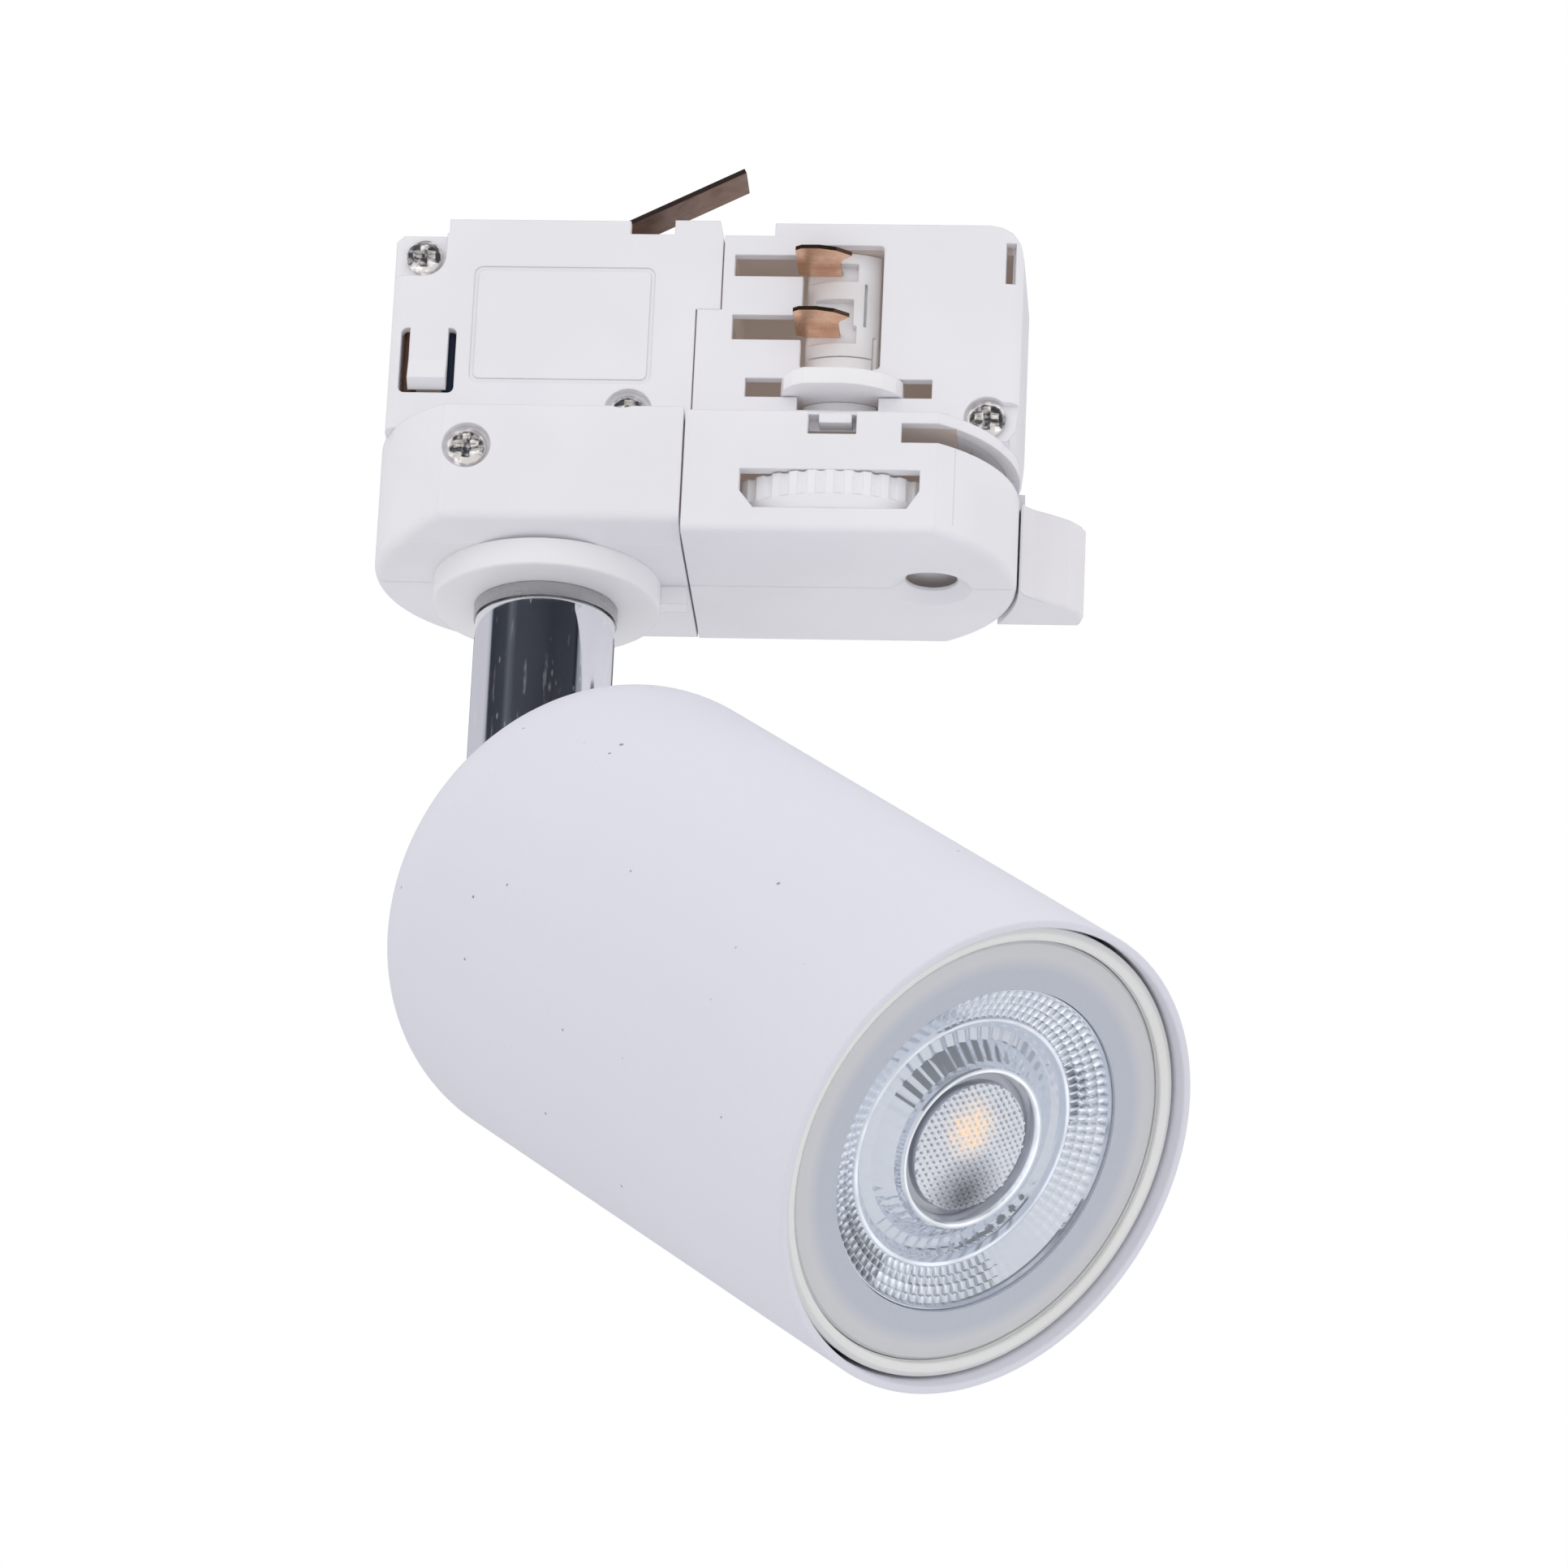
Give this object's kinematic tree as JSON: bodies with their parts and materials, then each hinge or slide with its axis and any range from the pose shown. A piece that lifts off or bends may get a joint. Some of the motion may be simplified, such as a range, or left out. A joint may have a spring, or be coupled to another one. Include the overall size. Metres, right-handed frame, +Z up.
{
  "type": "track spotlight",
  "caption": "White tubular spotlight on a chrome pole under a track adapter with a lock lever, a circuit dial, copper contacts and a reflector lamp.",
  "frame": {"origin": "on the pan axis, at the plane where the base covers meet the underside of the track", "axes": "+Z up into the track, +X along the track towards the lock lever, -Y towards the side with the visible contacts"},
  "size_m": [0.0957, 0.0843, 0.1562],
  "materials": {
    "housing_plastic": "satin moulded",
    "disc_plastic": "satin moulded",
    "drum_plastic": "satin moulded",
    "lever_plastic": "satin moulded",
    "dial_plastic": "satin moulded",
    "screw_nickel": "bright nickel",
    "copper": "bright copper",
    "earth_copper": "dull copper",
    "steel": "satin",
    "pole_chrome": "polished",
    "powder_coat": "fine powder coat",
    "ceramic": "unglazed ceramic",
    "lamp_white": "satin",
    "lamp_cream": "satin",
    "frosted": "frosted",
    "clear_optic": "clear",
    "led_phosphor": "phosphor",
    "board": "solder mask",
    "terminal_grey": "moulded",
    "lead_brown": "insulation",
    "lead_blue": "insulation",
    "lead_earth": "insulation"
  },
  "bodies": {
    "adapter": {"contact_housing_front": "housing_plastic", "contact_housing_rear": "housing_plastic", "wiring_housing_front": "housing_plastic", "wiring_housing_rear": "housing_plastic", "base_cover_right_front": "housing_plastic", "base_cover_right_rear": "housing_plastic", "base_cover_left_front": "housing_plastic", "base_cover_left_rear": "housing_plastic", "housing_screws": "screw_nickel", "base_screw": "screw_nickel", "terminal_block": "terminal_grey", "terminal_screws": "screw_nickel", "brown_lead": "lead_brown", "blue_lead": "lead_blue", "earth_lead": "lead_earth", "window_lead_blue": "lead_blue", "window_lead_brown": "lead_brown", "detent_spring": "steel", "swivel_disc": "disc_plastic"},
    "earth_spring": {"earth_blade": "earth_copper"},
    "lock_rotor": {"contact_drum": "drum_plastic", "lock_cam": "drum_plastic", "contact_blade_upper": "copper", "contact_blade_lower": "copper", "contact_blade_rear": "copper", "lock_lever": "lever_plastic"},
    "selector": {"selector_dial": "dial_plastic", "selector_spindle": "drum_plastic"},
    "swivel": {"trim_ring": "steel", "threaded_nipple": "steel", "spring_washer": "steel", "nipple_nut": "steel", "pole": "pole_chrome", "pole_leads": "lead_brown"},
    "lamp_head": {"barrel_upper": "powder_coat", "barrel_left": "powder_coat", "barrel_lower": "powder_coat", "barrel_right": "powder_coat", "barrel_back": "powder_coat", "hinge_bracket": "steel", "bracket_screws": "screw_nickel", "hinge_bolt": "steel", "hinge_nut": "steel", "hinge_washers": "steel", "lampholder": "ceramic", "lampholder_screw": "screw_nickel", "lampholder_contacts": "steel", "lampholder_leads": "lead_brown", "lamp_shell": "lamp_white", "lamp_pins": "screw_nickel", "led_board": "board", "lamp_heatsink": "steel", "led_chips": "led_phosphor", "driver_board": "board", "optic_lens": "clear_optic", "frosted_ring": "frosted", "lamp_ring": "lamp_cream"}
  },
  "joints": [
    {"name": "pan", "type": "hinge", "parent": "adapter", "child": "swivel", "pos_m": [0, 0, -0.0165], "axis": [0, 0, 1], "range_deg": [-170, 170]},
    {"name": "tilt", "type": "hinge", "parent": "swivel", "child": "lamp_head", "pos_m": [0, 0, -0.06255], "axis": [0.6239, 0.7815, 0], "range_deg": [0, 54.8]},
    {"name": "lock_lever_turn", "type": "hinge", "parent": "adapter", "child": "lock_rotor", "pos_m": [0.033, 0, 0], "axis": [0, 0, 1], "range_deg": [-68, 0]},
    {"name": "circuit_select", "type": "hinge", "parent": "adapter", "child": "selector", "pos_m": [0.033, 0, -0.0096], "axis": [0, 0, 1], "range_deg": [-60, 60]},
    {"name": "earth_blade_flex", "type": "hinge", "parent": "adapter", "child": "earth_spring", "pos_m": [0.003, 0, 0.0243], "axis": [0, 1, 0], "range_deg": [0, 10], "stiffness_Nm_per_rad": 0.2}
  ]
}
